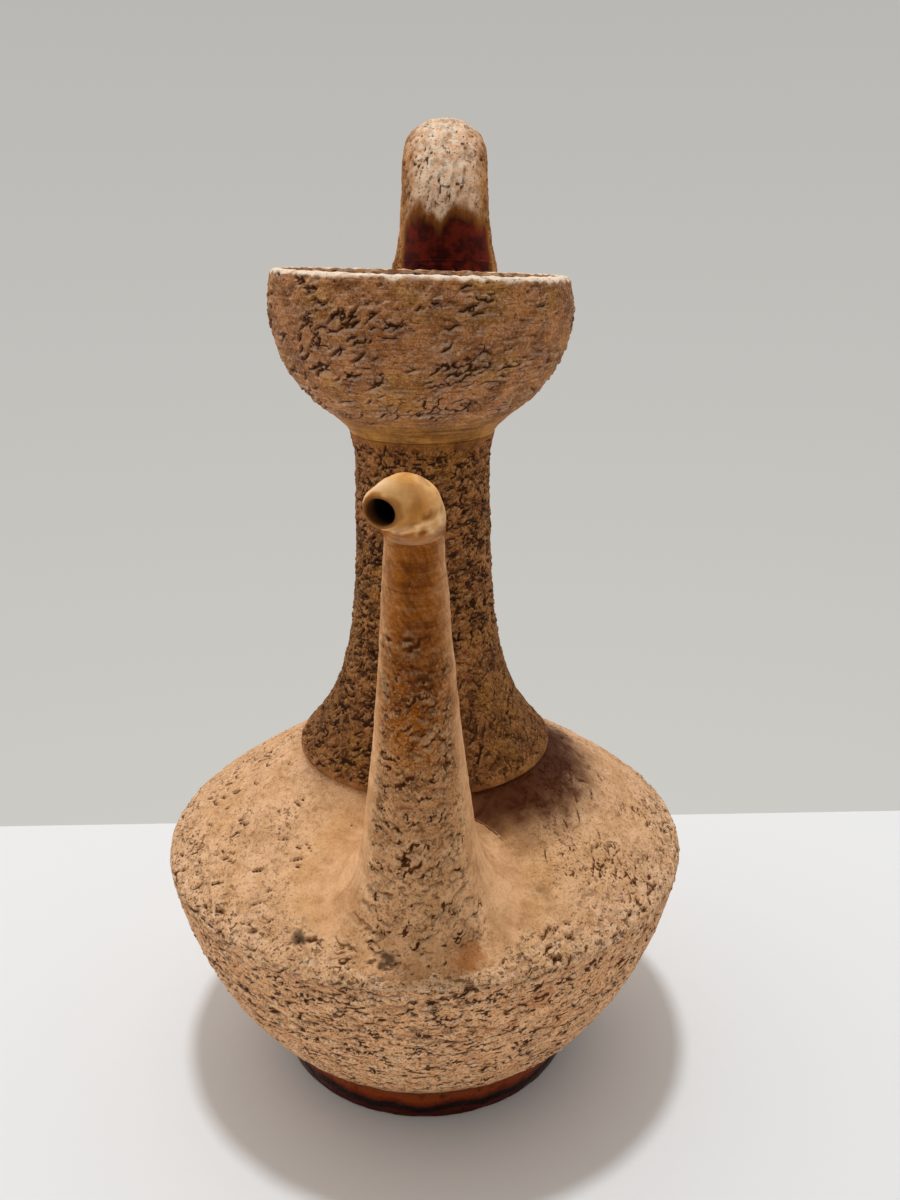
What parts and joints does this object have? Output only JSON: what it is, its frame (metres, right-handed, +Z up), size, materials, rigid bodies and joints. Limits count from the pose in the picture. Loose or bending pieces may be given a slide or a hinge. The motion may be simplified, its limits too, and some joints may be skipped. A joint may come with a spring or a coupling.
{
  "type": "oil jug",
  "caption": "Stoneware oil jug: round keeled body on a turned foot, trumpet neck with a cup mouth, tapered spout with a turned beak to pour from, and a handle from rim to shoulder.",
  "frame": {"origin": "on the table, under the axis that the body was turned on", "axes": "+Z up along the turning axis; the spout stands at -Y, the handle at +Y"},
  "size_m": [0.1564, 0.1855, 0.2788],
  "materials": {
    "clay_foot": "bare fired clay, turned",
    "glaze_foot": "glossy red-brown glaze, darker at its lower edge",
    "clay_bowl": "bare fired clay, torn and pitted",
    "clay_shoulder": "bare sandy fired clay with short dents",
    "clay_neck": "bare fired clay, pitted like bark",
    "clay_cup": "bare fired clay, torn like bark",
    "glaze_liner": "glossy red-brown glaze",
    "clay_spout": "bare fired clay, brushed, with gouges",
    "clay_beak": "smoothed bare fired clay",
    "clay_handle": "bare fired clay, pulled"
  },
  "bodies": {
    "root": {"foot": "clay_foot", "foot_glaze": "glaze_foot", "body_bowl": "clay_bowl", "body_shoulder": "clay_shoulder", "neck": "clay_neck", "cup": "clay_cup", "liner_glaze": "glaze_liner", "spout_tube": "clay_spout", "spout_beak": "clay_beak", "handle": "clay_handle"}
  },
  "joints": []
}
